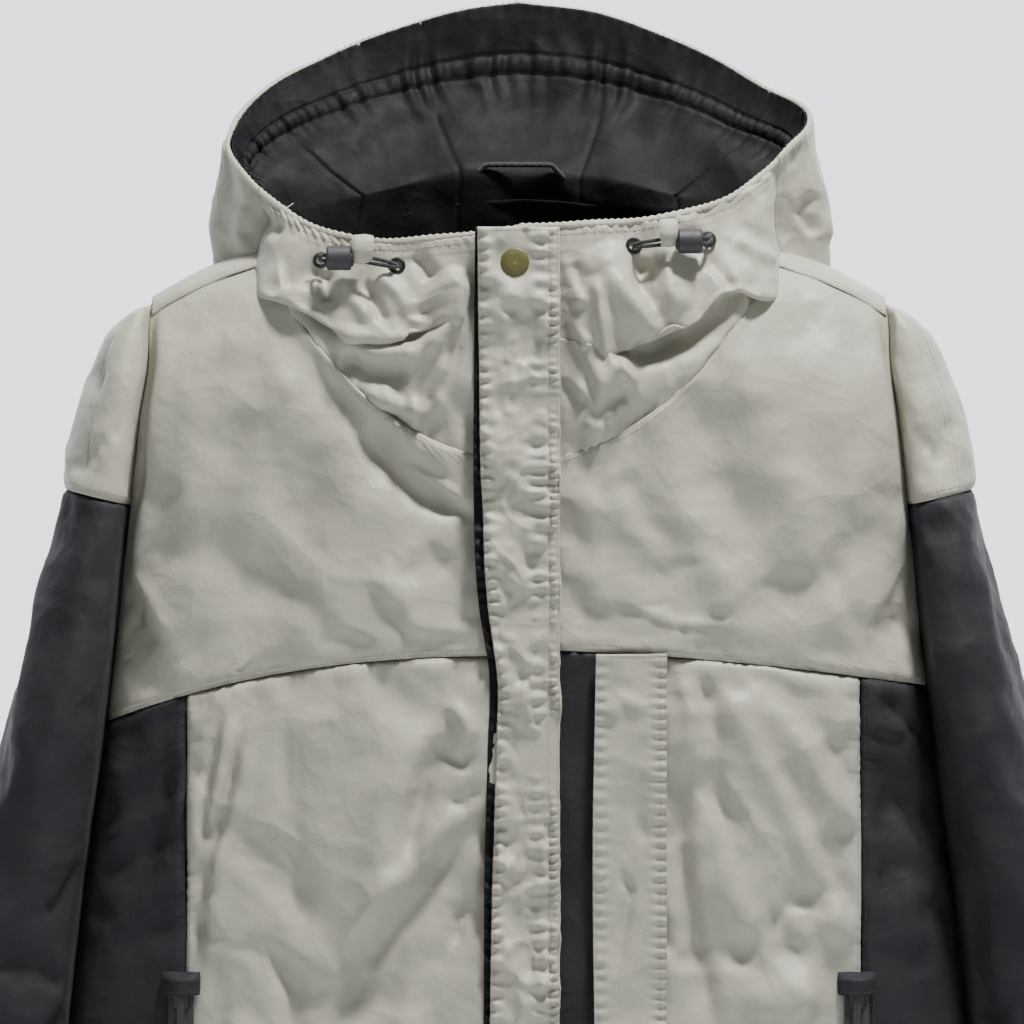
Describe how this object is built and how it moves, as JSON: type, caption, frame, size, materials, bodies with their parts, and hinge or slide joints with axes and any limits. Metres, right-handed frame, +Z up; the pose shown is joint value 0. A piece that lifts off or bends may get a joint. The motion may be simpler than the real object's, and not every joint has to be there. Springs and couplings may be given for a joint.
{
  "type": "hardshell jacket",
  "caption": "Hooded waterproof shell jacket with storm-flap front zip, contrast side panels and sleeves, chest and hand pockets, hood cord locks.",
  "frame": {"origin": "middle of the hanger loop inside the back of the neck, where the jacket hangs", "axes": "+Z up, the jacket's front faces -Y, +X towards the wearer's left"},
  "size_m": [0.8774, 0.228, 0.8662],
  "materials": {
    "grey_nylon": "satin",
    "charcoal_nylon": "satin",
    "lining_taffeta": "satin",
    "snap_brass": "satin",
    "snap_steel": "satin",
    "lock_plastic": "satin",
    "eyelet_metal": "satin",
    "elastic_cord": "matte",
    "webbing": "matte",
    "label_cloth": "satin",
    "hook_and_loop": "matte",
    "zip_metal": "satin",
    "pull_plastic": "matte",
    "zip_tape": "matte",
    "coil_plastic": "satin"
  },
  "bodies": {
    "shell": {"back_panel": "grey_nylon", "back_yoke": "grey_nylon", "body_lining_back": "lining_taffeta", "body_lining_front": "lining_taffeta", "chest_pocket_bag": "lining_taffeta", "chest_zip_chain": "zip_tape", "collar_left": "grey_nylon", "collar_lining": "lining_taffeta", "collar_right": "grey_nylon", "cord_lock_barrels": "lock_plastic", "cord_lock_spring_left": "snap_steel", "cord_lock_spring_right": "snap_steel", "flap_loop_pads": "hook_and_loop", "front_panel_left": "grey_nylon", "front_panel_right": "grey_nylon", "front_yoke_left": "grey_nylon", "front_yoke_right": "grey_nylon", "hand_pocket_bags": "lining_taffeta", "hand_zip_left_chain": "zip_tape", "hand_zip_right_chain": "zip_tape", "hanger_loop": "webbing", "hood_drawcords": "elastic_cord", "hood_eyelets": "eyelet_metal", "main_zip_bottom_box": "coil_plastic", "main_zip_coils": "coil_plastic", "main_zip_tapes": "zip_tape", "neck_label": "label_cloth", "pocket_facing": "charcoal_nylon", "side_panel_left": "charcoal_nylon", "side_panel_right": "charcoal_nylon", "snap_studs": "snap_steel"},
    "storm_flap": {"storm_flap": "grey_nylon", "snap_caps": "snap_brass", "snap_sockets": "snap_steel", "flap_hook_pads": "hook_and_loop"},
    "hood": {"hood_side_right": "grey_nylon", "hood_side_left": "grey_nylon", "hood_centre": "grey_nylon", "hood_lining": "lining_taffeta"},
    "chest_fly": {"chest_pocket_fly": "grey_nylon"},
    "main_slider": {"main_zip_slider": "zip_metal"},
    "main_pull": {"main_zip_pull": "pull_plastic"},
    "chest_slider": {"chest_zip_slider": "zip_metal"},
    "chest_pull": {"chest_zip_pull": "pull_plastic"},
    "hand_slider_right": {"hand_zip_right_slider": "zip_metal"},
    "hand_pull_right": {"hand_zip_right_pull": "pull_plastic"},
    "sleeve_right": {"sleeve_cap_right": "grey_nylon", "sleeve_lower_right": "charcoal_nylon", "sleeve_lining_right": "lining_taffeta", "sleeve_cuff_right": "charcoal_nylon"},
    "cuff_tab_right": {"cuff_tab_right": "charcoal_nylon"},
    "lock_button_right": {"cord_lock_button_right": "lock_plastic"},
    "hand_slider_left": {"hand_zip_left_slider": "zip_metal"},
    "hand_pull_left": {"hand_zip_left_pull": "pull_plastic"},
    "sleeve_left": {"sleeve_cap_left": "grey_nylon", "sleeve_lower_left": "charcoal_nylon", "sleeve_lining_left": "lining_taffeta", "sleeve_cuff_left": "charcoal_nylon"},
    "cuff_tab_left": {"cuff_tab_left": "charcoal_nylon"},
    "lock_button_left": {"cord_lock_button_left": "lock_plastic"}
  },
  "joints": [
    {"name": "flap_opens", "type": "hinge", "parent": "shell", "child": "storm_flap", "pos_m": [0.027, -0.1228, -0.4], "axis": [0, 0, 1], "range_deg": [0, 150]},
    {"name": "hood_raises", "type": "hinge", "parent": "shell", "child": "hood", "pos_m": [0, -0.072, -0.02], "axis": [1, 0, 0], "range_deg": [0, 55]},
    {"name": "chest_fly_opens", "type": "hinge", "parent": "shell", "child": "chest_fly", "pos_m": [0.0955, -0.1228, -0.5], "axis": [0, 0, 1], "range_deg": [0, 120]},
    {"name": "main_slider_runs", "type": "slide", "parent": "shell", "child": "main_slider", "axis": [0, 0, -1], "range_m": [0, 0.66]},
    {"name": "main_pull_turns", "type": "hinge", "parent": "main_slider", "child": "main_pull", "pos_m": [0.014, -0.119, -0.072], "axis": [0, 1, 0], "range_deg": [-30, 30]},
    {"name": "chest_slider_runs", "type": "slide", "parent": "shell", "child": "chest_slider", "axis": [0, 0, -1], "range_m": [0, 0.18]},
    {"name": "chest_pull_turns", "type": "hinge", "parent": "chest_slider", "child": "chest_pull", "pos_m": [0.062, -0.119, -0.356], "axis": [0, 1, 0], "range_deg": [-30, 30]},
    {"name": "hand_slider_right_runs", "type": "slide", "parent": "shell", "child": "hand_slider_right", "axis": [0, 0, -1], "range_m": [0, 0.145]},
    {"name": "hand_pull_right_turns", "type": "hinge", "parent": "hand_slider_right", "child": "hand_pull_right", "pos_m": [-0.22, -0.113, -0.552], "axis": [0, 1, 0], "range_deg": [-60, 60]},
    {"name": "sleeve_right_lifts", "type": "hinge", "parent": "shell", "child": "sleeve_right", "pos_m": [-0.262, -0.042, -0.118], "axis": [0, 1, 0], "range_deg": [0, 70]},
    {"name": "cuff_tab_right_opens", "type": "hinge", "parent": "sleeve_right", "child": "cuff_tab_right", "pos_m": [-0.4249, -0.0941, -0.708], "axis": [0, 0, -1], "range_deg": [0, 100]},
    {"name": "lock_button_right_presses", "type": "slide", "parent": "shell", "child": "lock_button_right", "axis": [-1, 0, 0], "range_m": [0, 0.003], "stiffness_N_per_m": 400, "springref_m": -0.004, "deforming": ["cord_lock_spring_right"]},
    {"name": "hand_slider_left_runs", "type": "slide", "parent": "shell", "child": "hand_slider_left", "axis": [0, 0, -1], "range_m": [0, 0.145]},
    {"name": "hand_pull_left_turns", "type": "hinge", "parent": "hand_slider_left", "child": "hand_pull_left", "pos_m": [0.22, -0.113, -0.552], "axis": [0, 1, 0], "range_deg": [-60, 60]},
    {"name": "sleeve_left_lifts", "type": "hinge", "parent": "shell", "child": "sleeve_left", "pos_m": [0.262, -0.042, -0.118], "axis": [0, -1, 0], "range_deg": [0, 70]},
    {"name": "cuff_tab_left_opens", "type": "hinge", "parent": "sleeve_left", "child": "cuff_tab_left", "pos_m": [0.4249, -0.0941, -0.708], "axis": [0, 0, 1], "range_deg": [0, 100]},
    {"name": "lock_button_left_presses", "type": "slide", "parent": "shell", "child": "lock_button_left", "axis": [1, 0, 0], "range_m": [0, 0.003], "stiffness_N_per_m": 400, "springref_m": -0.004, "deforming": ["cord_lock_spring_left"]}
  ]
}
